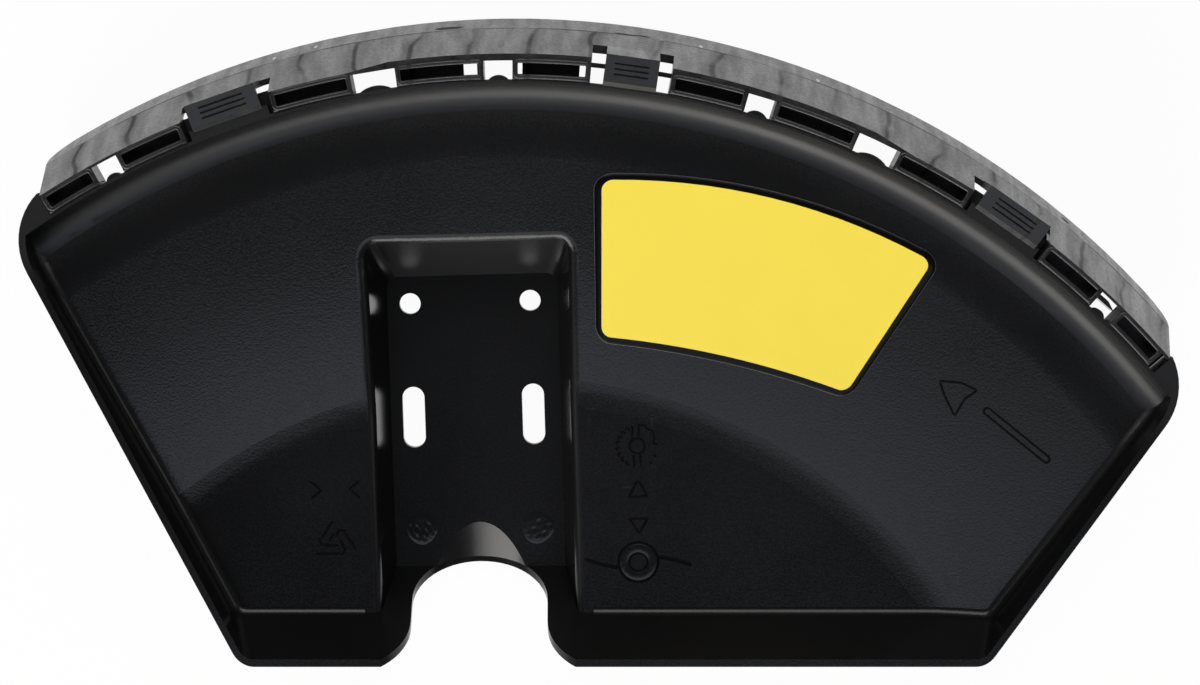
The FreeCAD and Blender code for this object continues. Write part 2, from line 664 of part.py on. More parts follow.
def cutter_screws():
    """Two pan-head screws that hold the knife to the pad."""
    inward = FreeCAD.Vector(0, -1, 0)
    screws = []
    for p in screw_points():
        seat = p + inward * CUTTER_THICK
        shank = Part.makeCylinder(SCREW_DIA / 2, SCREW_LENGTH + CUTTER_THICK, seat, -inward)
        rim = Part.makeCylinder(SCREW_HEAD_DIA / 2, SCREW_HEAD_HEIGHT / 2, seat, inward)
        crown = Part.makeCone(
            SCREW_HEAD_DIA / 2, SCREW_HEAD_DIA / 2 - SCREW_CROWN, SCREW_HEAD_HEIGHT / 2,
            seat + inward * (SCREW_HEAD_HEIGHT / 2), inward)
        screws.append(cutter_frame(rim.fuse([crown, shank]).removeSplitter()))
    return Part.makeCompound(screws)


def bulged_edge(start, end, bulge):
    """Arc from one point to another that stands off to the left of the chord by the bulge."""
    chord = end - start
    side = FreeCAD.Vector(-chord.y, chord.x, 0).normalize()
    return arc_edge(start, (start + end) * 0.5 + side * bulge, end)


def label():
    """Thin label on the plate's rising ring, with rounded corners and two bowed edges."""
    low_left, top_left, top_right, low_right = [
        ARC_CENTRE + unit(90 - angle) * (ARC_R - inset) for inset, angle in LABEL_CORNERS]
    wire = Part.Wire([
        line_edge(low_left, top_left), bulged_edge(top_left, top_right, LABEL_TOP_BULGE),
        line_edge(top_right, low_right), bulged_edge(low_right, low_left, -LABEL_BASE_BULGE)])
    block = Part.Face(wire).extrude(UP * RIM_Z)
    upright = [e for e in block.Edges if abs(e.tangentAt(e.FirstParameter).z) > 0.9]
    layer = cross_section([
        (CREASE_R + ARC_FILLET, ring_height(CREASE_R + ARC_FILLET, 0)), (ARC_R, ring_height(ARC_R, 0)),
        (ARC_R, ring_height(ARC_R, -LABEL_THICK)),
        (CREASE_R + ARC_FILLET, ring_height(CREASE_R + ARC_FILLET, -LABEL_THICK))])
    ring = layer.revolve(ARC_CENTRE, UP, 360)
    return block.makeFillet(LABEL_CORNER_R, upright).common(ring)


def main():
    os.makedirs("parts", exist_ok=True)
    pieces = {
        "guard_body": guard_body(), "extension_skirt": extension_skirt(), "label": label(),
        "line_cutter": line_cutter(), "cutter_screws": cutter_screws()}
    for name, shape in pieces.items():
        shape.exportStep("parts/" + name + ".step")
        print(name, "solids", len(shape.Solids), "valid", shape.isValid(), "volume", round(shape.Volume))


main()
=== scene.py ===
# %% [markdown]
# # A trimmer blade guard
# The guard is a black moulded tray that bolts under a garden trimmer, with a skirt clipped along its arc.
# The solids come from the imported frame. This lesson gives them their finishes, prints the label, raises the
# moulded marks, adds the thin walls of the clip row and sets up the light. Lengths of the part are written in
# millimetres and turned into metres.

# %% Load the frame
import math

import bmesh
import bpy
import numpy as np
from mathutils import Matrix, Vector


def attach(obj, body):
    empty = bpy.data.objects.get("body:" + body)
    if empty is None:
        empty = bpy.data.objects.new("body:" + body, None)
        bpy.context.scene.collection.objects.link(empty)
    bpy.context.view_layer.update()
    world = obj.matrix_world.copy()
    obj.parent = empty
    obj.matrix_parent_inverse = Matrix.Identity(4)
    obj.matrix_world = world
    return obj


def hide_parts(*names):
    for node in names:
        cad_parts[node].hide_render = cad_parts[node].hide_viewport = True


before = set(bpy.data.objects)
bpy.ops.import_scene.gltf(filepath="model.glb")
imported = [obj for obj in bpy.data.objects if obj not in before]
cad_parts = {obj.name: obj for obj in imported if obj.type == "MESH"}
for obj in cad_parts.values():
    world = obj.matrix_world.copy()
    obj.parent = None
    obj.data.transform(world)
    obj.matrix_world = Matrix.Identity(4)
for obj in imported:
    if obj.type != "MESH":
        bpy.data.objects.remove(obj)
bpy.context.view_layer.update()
MM = 0.001
print("nodes:", sorted(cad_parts))

# %% [markdown]
# ## The camera
# The photograph looks down into the tray, from one metre away and a little from the arc's side, so the
# outside of the skirt shows too. The three axes below are the columns of the camera's turn. A long lens on
# a full-frame sensor keeps the perspective mild.

# %% Camera
CAMERA_RIGHT = (0.99961, -0.02792, 0.0)
CAMERA_UP = (0.02775, 0.99357, -0.10973)
CAMERA_BACK = (0.00306, 0.10969, 0.99396)
CAMERA_PLACE = (0.04597, 0.09508, 0.99544)
LENS = 90.0

camera = bpy.data.objects.new("camera", bpy.data.cameras.new("camera"))
bpy.context.scene.collection.objects.link(camera)
turn = Matrix((CAMERA_RIGHT, CAMERA_UP, CAMERA_BACK)).transposed()
camera.matrix_world = Matrix.Translation(CAMERA_PLACE) @ turn.to_4x4()
camera.data.lens = LENS
bpy.context.scene.camera = camera
bpy.context.scene.view_settings.view_transform = "Standard"
print("camera at", tuple(round(c, 3) for c in camera.location))

# %% [markdown]
# ## Nodes for the finishes
# Every finish below is a small tree of nodes, which could also be drawn by hand in the shader editor. In
# code, two helpers keep the trees short: one adds a node and fills its sockets, the other starts a material
# and hands over its shader. Patterns read Object coordinates, so they stay fixed to the part in every view.


# %% Node helpers
def add(tree, kind, attributes=None, **sockets):
    """One node of a kind. Attributes are set on it, and sockets get a value or a link to another socket; a
    socket is named, or given by its number after an underscore."""
    made = tree.nodes.new("ShaderNode" + kind)
    for key, value in (attributes or {}).items():
        setattr(made, key, value)
    for key, value in sockets.items():
        socket = made.inputs[int(key[1:])] if key[0] == "_" else made.inputs[key.replace("_", " ")]
        if isinstance(value, bpy.types.NodeSocket):
            tree.links.new(value, socket)
        else:
            socket.default_value = value
    return made


def new_finish(name):
    """A new material, with its tree, its shader and the Object coordinates."""
    finish = bpy.data.materials.new(name)
    finish.use_nodes = True
    tree = finish.node_tree
    shader = tree.nodes["Principled BSDF"]
    return finish, tree, shader, add(tree, "TexCoord").outputs["Object"]


print("node helpers ready")

# %% [markdown]
# ## Patterns
# A finish is made of a few patterns, laid over each other: smooth steps, cloudy noise and small specks.
# Pictures of plastic could show the same, but noise has no seams and stays sharp at any distance.

# %% Pattern helpers
NOISE_RANGE = (0.3, 0.7)  # most of a noise's values lie between these


def spread(tree, value, low, high, out_low, out_high):
    """The value's range from low to high, mapped smoothly to out_low to out_high and held outside it."""
    made = add(tree, "MapRange", {"interpolation_type": "SMOOTHSTEP"}, Value=value)
    for key, number in (("From Min", low), ("From Max", high), ("To Min", out_low), ("To Max", out_high)):
        made.inputs[key].default_value = number
    return made.outputs["Result"]


def sums(tree, operation, first, second):
    """One sum of two values, such as MULTIPLY, MAXIMUM or ADD."""
    return add(tree, "Math", {"operation": operation}, _0=first, _1=second).outputs[0]


def blend_values(tree, share, first, second):
    """The first value where the share is 0, the second where it is 1."""
    return add(tree, "Mix", {"data_type": "FLOAT"}, _0=share, _2=first, _3=second).outputs[0]


def blend_colours(tree, share, first, second):
    """The first colour where the share is 0, the second where it is 1."""
    made = add(tree, "Mix", {"data_type": "RGBA"}, _0=share)
    for place, colour in ((6, first), (7, second)):
        if isinstance(colour, bpy.types.NodeSocket):
            tree.links.new(colour, made.inputs[place])
        else:
            made.inputs[place].default_value = (*colour, 1.0)
    return made.outputs[2]


def noise(tree, place, scale, detail=2.0, stretch=(1.0, 1.0, 1.0), turned=0.0):
    """Cloudy noise of about one grain per 1/scale metres, that may be stretched and turned about Z."""
    mapped = add(tree, "Mapping", Vector=place, Scale=stretch, Rotation=(0.0, 0.0, turned)).outputs[0]
    return add(tree, "TexNoise", Vector=mapped, Scale=scale, Detail=detail).outputs["Fac"]


def specks(tree, place, spacing, size):
    """Small round specks, 1 inside and 0 outside, about one per cell of the spacing, in metres."""
    cells = add(tree, "TexVoronoi", Vector=place, Scale=1.0 / spacing)
    return spread(tree, cells.outputs["Distance"], 0.6 * size / spacing, size / spacing, 1.0, 0.0)


print("pattern helpers ready")

# %% [markdown]
# ## Where a point lies on the guard
# The plate's crease and the arc wall turn about one centre, so two measures steer the guard's finish: how a
# face is turned, and how far a point lies from that centre. A moulded plate is never quite a plain cone. Its
# outer ring is slightly domed, and it sinks softly at the foot of the arc's fillet. The solids keep the plain
# cone and fillet, and a bump in the finish bends the light as those forms would.

# %% Measures on the guard
ARC_CENTRE = (9.7 * MM, -197.0 * MM)


def facing(tree, axis):
    """How squarely a face looks along an axis, either way: the size of that part of its normal."""
    normal = add(tree, "NewGeometry").outputs["Normal"]
    part = add(tree, "SeparateXYZ", Vector=normal).outputs[axis]
    return add(tree, "Math", {"operation": "ABSOLUTE"}, _0=part).outputs[0]


def from_arc_centre(tree, place):
    """Each point's place in metres, seen from the arc's centre."""
    return add(tree, "Mapping", Vector=place, Location=(-ARC_CENTRE[0], -ARC_CENTRE[1], 0.0)).outputs[0]


def radius_about_arc(tree, place):
    """The distance in metres of each point from the upright line through the arc's centre."""
    moved = from_arc_centre(tree, place)
    flat = add(tree, "VectorMath", {"operation": "MULTIPLY"}, _0=moved, _1=(1.0, 1.0, 0.0)).outputs[0]
    return add(tree, "VectorMath", {"operation": "LENGTH"}, _0=flat).outputs["Value"]


print("the arc's centre:", ARC_CENTRE)

# %% Doming of the plate
CREASE_R = 170.0
DOME_SLOPE = -0.002
DOME_R = 4800.0
DOME_END_R = 259.0
DIP_START_R, DIP_END_R = 246.0, 274.0
DIP_DEPTH = 2.4


def dome(tree, radius):
    """Height in metres that the bump adds: past the crease a parabola that starts with DOME_SLOPE and bends
    down on a radius of DOME_R, held from DOME_END_R on, plus a smooth step down by DIP_DEPTH."""
    past = sums(tree, "MAXIMUM", sums(tree, "SUBTRACT", radius, CREASE_R * MM), 0.0)
    past = sums(tree, "MINIMUM", past, (DOME_END_R - CREASE_R) * MM)
    slope = sums(tree, "SUBTRACT", DOME_SLOPE, sums(tree, "MULTIPLY", past, 0.5 / (DOME_R * MM)))
    dip = spread(tree, radius, DIP_START_R * MM, DIP_END_R * MM, 0.0, -DIP_DEPTH * MM)
    return sums(tree, "ADD", sums(tree, "MULTIPLY", past, slope), dip)


print("doming from radius", CREASE_R, "to", DOME_END_R, "mm")

# %% [markdown]
# ## The guard's plastic
# The tray is injection-moulded polypropylene, blue-black and used. The steel of its mould is eroded on the
# level faces, which gives them a fine grain, and smoother on the walls. So the roughness is chosen by how a
# face is turned, and fine noise varies it on the level faces, with a bump to match. The arc's long fillet
# is duller, which draws the light on it out to a soft band. Larger noise gives the cloudy flow of the melt,
# thin stretched noise the rub marks, and specks the dust. Grain as geometry would take millions of faces.

# %% Tones of the guard
GUARD_DARK = (0.0042, 0.0043, 0.0046)
GUARD_PALE = (0.0074, 0.0076, 0.0082)
SCUFF_TONE = (0.050, 0.051, 0.054)
SCUFF_SHARE = 0.12
DUST_TONE = (0.22, 0.22, 0.21)
DUST_SHARE = 0.8
DUST_SPACING, DUST_SIZE = 21.0 * MM, 0.22 * MM
WEAR_SCALE, WEAR_EDGE = 22.0, (0.56, 0.72)
RUBS_ALONG, ALONG_EDGE = (90.0, 3.0, (1.0, 9.0, 1.0), 0.5), (0.66, 0.76)
RUBS_ACROSS, ACROSS_EDGE = (110.0, 3.0, (10.0, 1.0, 1.0), 0.3), (0.68, 0.78)


def scuffs(tree, place):
    """Thin rub marks in two directions, where a cloud of wear lets them show. Each is noise of a scale, a
    detail, a stretch and a turn, cut off softly between two values."""
    worn = spread(tree, noise(tree, place, WEAR_SCALE, 2.0), *WEAR_EDGE, 0.0, 1.0)
    along = spread(tree, noise(tree, place, *RUBS_ALONG), *ALONG_EDGE, 0.0, 1.0)
    across = spread(tree, noise(tree, place, *RUBS_ACROSS), *ACROSS_EDGE, 0.0, 1.0)
    return sums(tree, "MULTIPLY", sums(tree, "MAXIMUM", along, across), worn)


def guard_tone(tree, place, cloud, rubbed):
    """Blue-black between two tones by the cloud, with pale rub marks and dust over it."""
    tone = blend_colours(tree, cloud, GUARD_DARK, GUARD_PALE)
    tone = blend_colours(tree, sums(tree, "MULTIPLY", rubbed, SCUFF_SHARE), tone, SCUFF_TONE)
    dust = specks(tree, place, DUST_SPACING, DUST_SIZE)
    return blend_colours(tree, sums(tree, "MULTIPLY", dust, DUST_SHARE), tone, DUST_TONE)


print("guard tones:", GUARD_DARK, GUARD_PALE)

# %% Gloss of the guard
LEVEL_FACING = (0.965, 0.993)
ROUND_FACING = (0.5, 0.65)
SIDE_FACING = (0.4, 0.8)
ROUGH_LEVEL = 0.16
ROUGH_ROUND = 0.27
ROUGH_FILLET = 0.40
ROUGH_END_WALL, ROUGH_SIDE_WALL = 0.32, 0.18
ROUGH_GRAIN = (-0.03, 0.035)
GRAIN_EDGE = (0.36, 0.64)
ROUGH_CLOUD = 0.03
ROUGH_SCUFF = 0.05
DULL_START_R, DULL_END_R = 252.5, 268.0


def guard_gloss(tree, radius, upright, level, grain):
    """Roughness by the way a face is turned: end walls, side walls, rounded edges, the arc's fillet and the
    grained level faces."""
    steep = spread(tree, facing(tree, "X"), *SIDE_FACING, ROUGH_END_WALL, ROUGH_SIDE_WALL)
    rounded = spread(tree, upright, *ROUND_FACING, 0.0, 1.0)
    gloss = blend_values(tree, rounded, steep, ROUGH_ROUND)
    gloss = blend_values(tree, level, gloss, ROUGH_LEVEL)
    near_arc = spread(tree, radius, DULL_START_R * MM, DULL_END_R * MM, 0.0, 1.0)
    gloss = blend_values(tree, sums(tree, "MULTIPLY", rounded, near_arc), gloss, ROUGH_FILLET)
    grained = spread(tree, grain, *GRAIN_EDGE, *ROUGH_GRAIN)
    return sums(tree, "ADD", gloss, sums(tree, "MULTIPLY", level, grained))


print("guard roughness:", ROUGH_LEVEL, "level,", ROUGH_FILLET, "on the arc's fillet")

# %% Guard plastic
PLASTIC_IOR = 1.49
GUARD_SPECULAR = 0.35
GRAIN_SCALE = 1400.0
GRAIN_HEIGHT = 0.12 * MM
GRAIN_STRENGTH = 0.2
CLOUD_SCALE = 14.0


def guard_plastic():
    """Blue-black moulded plastic: grained where level, smooth where steep, cloudy, with faint scuffs."""
    finish, tree, shader, place = new_finish("guard_plastic")
    grain = noise(tree, place, GRAIN_SCALE, 2.0)
    cloud = noise(tree, place, CLOUD_SCALE, 3.0)
    rubbed = scuffs(tree, place)
    radius = radius_about_arc(tree, place)
    upright = facing(tree, "Z")
    level = spread(tree, upright, *LEVEL_FACING, 0.0, 1.0)
    tree.links.new(guard_tone(tree, place, cloud, rubbed), shader.inputs["Base Color"])
    gloss = guard_gloss(tree, radius, upright, level, grain)
    gloss = sums(tree, "ADD", gloss, spread(tree, cloud, *NOISE_RANGE, -ROUGH_CLOUD, ROUGH_CLOUD))
    gloss = sums(tree, "ADD", gloss, sums(tree, "MULTIPLY", rubbed, ROUGH_SCUFF))
    tree.links.new(gloss, shader.inputs["Roughness"])
    domed = add(tree, "Bump", Height=dome(tree, radius), Distance=1.0).outputs[0]
    grained = sums(tree, "MULTIPLY", grain, level)
    relief = add(tree, "Bump", Height=grained, Strength=GRAIN_STRENGTH, Distance=GRAIN_HEIGHT, Normal=domed)
    tree.links.new(relief.outputs[0], shader.inputs["Normal"])
    shader.inputs["IOR"].default_value = PLASTIC_IOR
    shader.inputs["Specular IOR Level"].default_value = GUARD_SPECULAR
    return finish


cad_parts["guard_body"].data.materials[0] = guard_plastic()
print("guard plastic on guard_body")

# %% [markdown]
# ## The skirt's plastic
# The skirt is a separate moulding in a slightly greyer, satin plastic. Its ribs on the inside pull the outer
# face in as the plastic cools, which leaves shallow dents, the sink marks; they are a bump and thin dark
# lines of painted shade, and the melt leaves upright streaks. The lines lie at fixed angles about the arc's
# centre, so the finish takes the angle of each point about that centre and makes a wave of it. The lip at the
# lower edge is set off by a fine line of painted shade and carries a few nicks from the ground, which are
# patches round given places.


# %% Angle about the arc
def angle_about_arc(tree, place):
    """The angle in degrees of each point about the arc's centre, from +Y towards +X."""
    parts = add(tree, "SeparateXYZ", Vector=from_arc_centre(tree, place)).outputs
    angle = add(tree, "Math", {"operation": "ARCTAN2"}, _0=parts["X"], _1=parts["Y"]).outputs[0]
    return sums(tree, "MULTIPLY", angle, 180.0 / math.pi)


print("sink marks follow the angle about", ARC_CENTRE)

# %% Sink marks and streaks
RIB_STEP_DEGREES = 3.9
RIB_START_DEGREES = -24.0
WANDER_DEGREES, WANDER_SCALE = 0.6, 14.0
CORE_DEGREES, CORE_SHARE = (0.05, 0.24), 0.6
BLUR_DEGREES, BLUR_SHARE = (0.05, 1.0), 0.25
PATCH_SCALE, PATCH_EDGE, PATCH_LEAST = 24.0, (0.35, 0.62), 0.2
MARKS_LOW, MARKS_FULL = 5.0 * MM, 8.0 * MM
ARC_MM_PER_DEGREE = 5.0
STREAK_SCALE, STREAK_SQUASH = 230.0, 0.1


def sink_marks_and_shade(tree, place, angle, height):
    """Thin lines at the ribs behind the wall: a sharp core and a blurred edge, from the distance of the angle
    to the next rib; bent by noise, faded in patches and left off on the lip. They are dents in the bump and
    painted shade in the colour."""
    wander = noise(tree, place, WANDER_SCALE)
    wander = spread(tree, wander, *NOISE_RANGE, -WANDER_DEGREES, WANDER_DEGREES)
    bent = sums(tree, "SUBTRACT", sums(tree, "ADD", angle, wander), RIB_START_DEGREES)
    wave = add(tree, "Math", {"operation": "PINGPONG"}, _0=bent, _1=RIB_STEP_DEGREES / 2).outputs[0]
    core = spread(tree, wave, *CORE_DEGREES, CORE_SHARE, 0.0)
    blur = spread(tree, wave, *BLUR_DEGREES, BLUR_SHARE, 0.0)
    patch = spread(tree, noise(tree, place, PATCH_SCALE), *PATCH_EDGE, PATCH_LEAST, 1.0)
    above = spread(tree, height, MARKS_LOW, MARKS_FULL, 0.0, 1.0)
    return sums(tree, "MULTIPLY", sums(tree, "MULTIPLY", sums(tree, "ADD", core, blur), patch), above)


def streaks(tree, angle, height):
    """Upright streaks: noise over the length of arc and the share STREAK_SQUASH of the height."""
    along = sums(tree, "MULTIPLY", angle, ARC_MM_PER_DEGREE * MM)
    squashed = sums(tree, "MULTIPLY", height, STREAK_SQUASH)
    upright = add(tree, "CombineXYZ", X=along, Y=squashed).outputs[0]
    return noise(tree, upright, STREAK_SCALE, 3.0)


print("sink marks every", RIB_STEP_DEGREES, "degrees")

# %% Lip line and nicks
# The lip line is painted shade, with a slight dip in the bump.
LIP_TOP = 6.4 * MM
LIP_LINE, LIP_SHADE_SHARE = (0.2 * MM, 1.0 * MM), 0.8
LIP_SCALE, LIP_EDGE, LIP_LEAST = 40.0, (0.4, 0.6), 0.2
DARK_NICKS = ((-2.7, 2.0, 1.0, 2.6), (8.9, 5.0, 0.8, 1.6), (10.0, 4.0, 0.6, 1.2), (40.9, -3.0, 0.35, 2.0))
PALE_NICKS = ((-14.4, -1.0, 0.14, 2.4), (-11.6, -2.0, 0.14, 2.4), (13.9, 3.0, 0.14, 2.6),
              (21.9, 2.0, 0.14, 2.6))
NICK_EDGE = (0.6, 1.1)


def lip_shade_line(tree, place, height):
    """1 on a fine level line at the lip's top, broken by noise; it is a slight dip in the bump and painted
    shade in the colour.
    """
    above = sums(tree, "SUBTRACT", height, LIP_TOP)
    off = add(tree, "Math", {"operation": "ABSOLUTE"}, _0=above).outputs[0]
    broken = spread(tree, noise(tree, place, LIP_SCALE), *LIP_EDGE, LIP_LEAST, 1.0)
    return sums(tree, "MULTIPLY", spread(tree, off, *LIP_LINE, LIP_SHADE_SHARE, 0.0), broken)


def nicks(tree, angle, height, places):
    """1 inside small ellipses over angle and height, each given by its middle and half its size, in degrees
    and mm."""
    total = 0.0
    for middle, level, half_angle, half_height in places:
        across = sums(tree, "DIVIDE", sums(tree, "SUBTRACT", angle, middle), half_angle)
        upwards = sums(tree, "DIVIDE", sums(tree, "SUBTRACT", height, level * MM), half_height * MM)
        squares = [sums(tree, "MULTIPLY", part, part) for part in (across, upwards)]
        inside = spread(tree, sums(tree, "ADD", *squares), *NICK_EDGE, 1.0, 0.0)
        total = sums(tree, "ADD", inside, total)
    return total


print("lip line at", LIP_TOP, "m, nicks:", len(DARK_NICKS) + len(PALE_NICKS))

# %% Skirt plastic
SKIRT_DARK = (0.010, 0.0104, 0.0112)
SKIRT_PALE = (0.019, 0.0195, 0.0203)
# Level faces get a darker tone than the walls: painted shade.
SKIRT_LEVEL_SHADE = (0.0052, 0.0053, 0.0058)
NICK_TONE = (0.55, 0.55, 0.54)
SHADE_AND_NICK_SHARE = 0.9
ROUGH_STREAK = (0.30, 0.42)
ROUGH_SPECK = 0.05
ROUGH_MARK = 0.45
LEVEL_SHADE_FACING = (0.9, 0.98)
SATIN_SCALE = 900.0
SATIN_HEIGHT, SATIN_STRENGTH = 0.2 * MM, 0.3


def skirt_plastic():
    """Satin grey-black plastic: painted shade that makes level faces darker, sink marks and a lip line that
    are partly painted shade, streaks and nicks.
    """
    finish, tree, shader, place = new_finish("skirt_plastic")
    grain = noise(tree, place, SATIN_SCALE, 2.0)
    angle = angle_about_arc(tree, place)
    height = add(tree, "SeparateXYZ", Vector=place).outputs["Z"]
    streak = streaks(tree, angle, height)
    dark = sums(tree, "MAXIMUM", sink_marks_and_shade(tree, place, angle, height), lip_shade_line(tree, place, height))
    dark = sums(tree, "MAXIMUM", dark, nicks(tree, angle, height, DARK_NICKS))
    tone = blend_colours(tree, streak, SKIRT_DARK, SKIRT_PALE)
    # Painted shade: level faces get the darker level tone.
    level = spread(tree, facing(tree, "Z"), *LEVEL_SHADE_FACING, 0.0, 1.0)
    tone = blend_colours(tree, level, tone, SKIRT_LEVEL_SHADE)
    # Painted shade: the sink marks and the lip line are darkened here, together with the dark nicks from the
    # ground.
    tone = blend_colours(tree, sums(tree, "MULTIPLY", dark, SHADE_AND_NICK_SHARE), tone, GUARD_DARK)
    tone = blend_colours(tree, nicks(tree, angle, height, PALE_NICKS), tone, NICK_TONE)
    tree.links.new(tone, shader.inputs["Base Color"])
    gloss = sums(tree, "ADD", spread(tree, streak, *NOISE_RANGE, *ROUGH_STREAK),
                 sums(tree, "MULTIPLY", dark, ROUGH_MARK))
    gloss = sums(tree, "ADD", gloss, spread(tree, grain, *NOISE_RANGE, -ROUGH_SPECK, ROUGH_SPECK))
    tree.links.new(gloss, shader.inputs["Roughness"])
    relief = sums(tree, "SUBTRACT", sums(tree, "MULTIPLY", grain, 0.5), dark)
    bump = add(tree, "Bump", Height=relief, Strength=SATIN_STRENGTH, Distance=SATIN_HEIGHT)
    tree.links.new(bump.outputs[0], shader.inputs["Normal"])
    shader.inputs["IOR"].default_value = PLASTIC_IOR
    return finish


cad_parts["extension_skirt"].data.materials[0] = skirt_plastic()
print("skirt plastic on extension_skirt")

# %% [markdown]
# ## Steel for the line cutter
# Under the skirt sits a small knife that trims the cutting line, held by two screws. The knife is ground,
# so its finish has fine straight scratches along its length; the screws are plated and slightly yellow. Both
# are one function with other tones, because scratches are only noise that is stretched.

# %% Steel
CUTTER_TURN = math.radians(33.0)
CUTTER_TONES = (0.38, 0.38, 0.39), (0.56, 0.56, 0.56)
SCREW_TONES = (0.48, 0.46, 0.40), (0.64, 0.62, 0.56)
ROUGH_STEEL = (0.26, 0.46)
SCRATCH_SCALE, STAIN_SCALE = 160.0, 60.0
SCRATCH_HEIGHT, SCRATCH_STRENGTH = 0.08 * MM, 0.2


def bright_steel(name, dark, pale, scratch_stretch, turned):
    """Steel between two tones, with scratches that are noise stretched along one direction."""
    finish, tree, shader, place = new_finish(name)
    lines = noise(tree, place, SCRATCH_SCALE, 4.0, scratch_stretch, turned)
    stain = noise(tree, place, STAIN_SCALE, 3.0)
    tree.links.new(blend_colours(tree, stain, dark, pale), shader.inputs["Base Color"])
    tree.links.new(spread(tree, lines, *NOISE_RANGE, *ROUGH_STEEL), shader.inputs["Roughness"])
    relief = add(tree, "Bump", Height=lines, Strength=SCRATCH_STRENGTH, Distance=SCRATCH_HEIGHT)
    tree.links.new(relief.outputs[0], shader.inputs["Normal"])
    shader.inputs["Metallic"].default_value = 1.0
    return finish


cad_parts["line_cutter"].data.materials[0] = bright_steel(
    "cutter_steel", *CUTTER_TONES, (1.0, 12.0, 12.0), CUTTER_TURN)
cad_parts["cutter_screws"].data.materials[0] = bright_steel(
    "screw_steel", *SCREW_TONES, (3.0, 3.0, 3.0), 0.0)
print("steel on line_cutter and cutter_screws")

# %% [markdown]
# ## The plate as a formula
# The label and the moulded marks lie on the plate. The plate is level inside a crease, an arc about the
# same centre as the skirt, and rises gently outside it. The pieces could be pressed onto the mesh with a
# modifier, but one function gives the plate's height anywhere, so each piece is laid on it by formula.

# %% Height of the plate
PLATE_Z = 23.0
RING_SLOPE = math.radians(6.3)
CREASE_BEND_R = 80.0


def plate_height(x, y):
    """Height in mm over plan places in mm: level to the crease, then rising with the distance from the
    arc's centre; within the bend the height is a parabola that joins the two."""
    radius = np.hypot(x - ARC_CENTRE[0] / MM, y - ARC_CENTRE[1] / MM)
    reach = CREASE_BEND_R * math.tan(RING_SLOPE / 2)
    run = np.clip(radius - CREASE_R + reach, 0.0, 2 * reach)
    beyond = np.maximum(radius - CREASE_R - reach, 0.0)
    return PLATE_Z + math.tan(RING_SLOPE) * (run ** 2 / (4 * reach) + beyond)


print("plate height at the arc wall:", round(float(plate_height(9.7, 73.0)), 2), "mm")


# %% From points to a piece
def grid_faces(rows, columns, closed_rows, closed_columns):
    """Quads between neighbours of a grid of points, wrapped round where a direction is closed."""
    index = np.arange(rows * columns).reshape(rows, columns)
    if closed_rows:
        index = np.concatenate([index, index[:1]], axis=0)
    if closed_columns:
        index = np.concatenate([index, index[:, :1]], axis=1)
    corners = (index[:-1, :-1], index[:-1, 1:], index[1:, 1:], index[1:, :-1])
    return np.stack(corners, axis=-1).reshape(-1, 4)


def new_piece(name, points, faces, finish, slot):
    """A mesh of points in mm and faces, with doubles merged at its poles, that rides on the guard."""
    mesh = bpy.data.meshes.new(name)
    mesh.from_pydata((np.reshape(points, (-1, 3)) * MM).tolist(), [], faces.tolist())
    work = bmesh.new()
    work.from_mesh(mesh)
    bmesh.ops.remove_doubles(work, verts=work.verts, dist=1e-6)
    bmesh.ops.recalc_face_normals(work, faces=work.faces)
    work.to_mesh(mesh)
    work.free()
    mesh.shade_smooth()
    mesh.materials.append(finish)
    piece = bpy.data.objects.new(name, mesh)
    bpy.context.scene.collection.objects.link(piece)
    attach(piece, "root")
    return piece


print("piece helpers ready")

# %% [markdown]
# ## The label
# The label is a printed film: a bright yellow field inside a black margin, on a sheet with rounded corners
# that is bowed like the arc. It could be a flat plane with a picture on it, but a grid of rings does more:
# each ring is the rounded outline moved in by a step, laid on the plate, so the margin keeps one width and
# the film has a real edge. The distance of each ring from the edge goes into an attribute, and the finish
# reads its colour from that. The field is left bare.

# %% Outline of the label
LABEL_CORNERS = ((41.6, -12.0), (42.4, 43.4), (154.2, 12.4), (123.2, -33.0))
LABEL_TOP_BULGE = 8.4
LABEL_BASE_BULGE = 2.8
LABEL_CORNER_R = 5.5
LABEL_THICK = 0.25
LABEL_EDGE = 0.05
MARGIN = 2.2
OUTLINE_COUNT = 14
FIELD_START, FIELD_RINGS = 0.92, 13


def rounded_outline(width, height, radius, count):
    """Points round a rectangle from 0 to width and 0 to height, with quarter circles of the radius in its
    corners: count points along each side and each corner, anticlockwise."""
    turn = np.linspace(0.0, math.pi / 2, count)
    side = np.linspace(0.0, 1.0, count, endpoint=False)[1:]
    loops = []
    for quarter, (cx, cy) in enumerate(((width - radius, height - radius), (radius, height - radius),
                                        (radius, radius), (width - radius, radius))):
        angle = turn + quarter * math.pi / 2
        loops.append(np.stack([cx + radius * np.cos(angle), cy + radius * np.sin(angle)], axis=-1))
    runs = []
    for here, after in zip(loops, loops[1:] + loops[:1]):
        runs.append(here)
        runs.append(here[-1] + side[:, None] * (after[0] - here[-1]))
    return np.concatenate(runs)


def bowed_sheet(s, t):
    """Plan place of a share s along the label and t up it: two bowed edges, each a straight run plus a
    parabola of its bulge, and a straight blend from the lower to the upper one."""
    low_left, top_left, top_right, low_right = (np.array(c) for c in LABEL_CORNERS)

    def edge(start, end, bulge):
        chord = end - start
        out = np.array([-chord[1], chord[0]]) / np.hypot(*chord)
        return start + s[..., None] * chord + (4 * bulge * s * (1 - s))[..., None] * out

    low, top = edge(low_left, low_right, LABEL_BASE_BULGE), edge(top_left, top_right, LABEL_TOP_BULGE)
    return low + t[..., None] * (top - low)


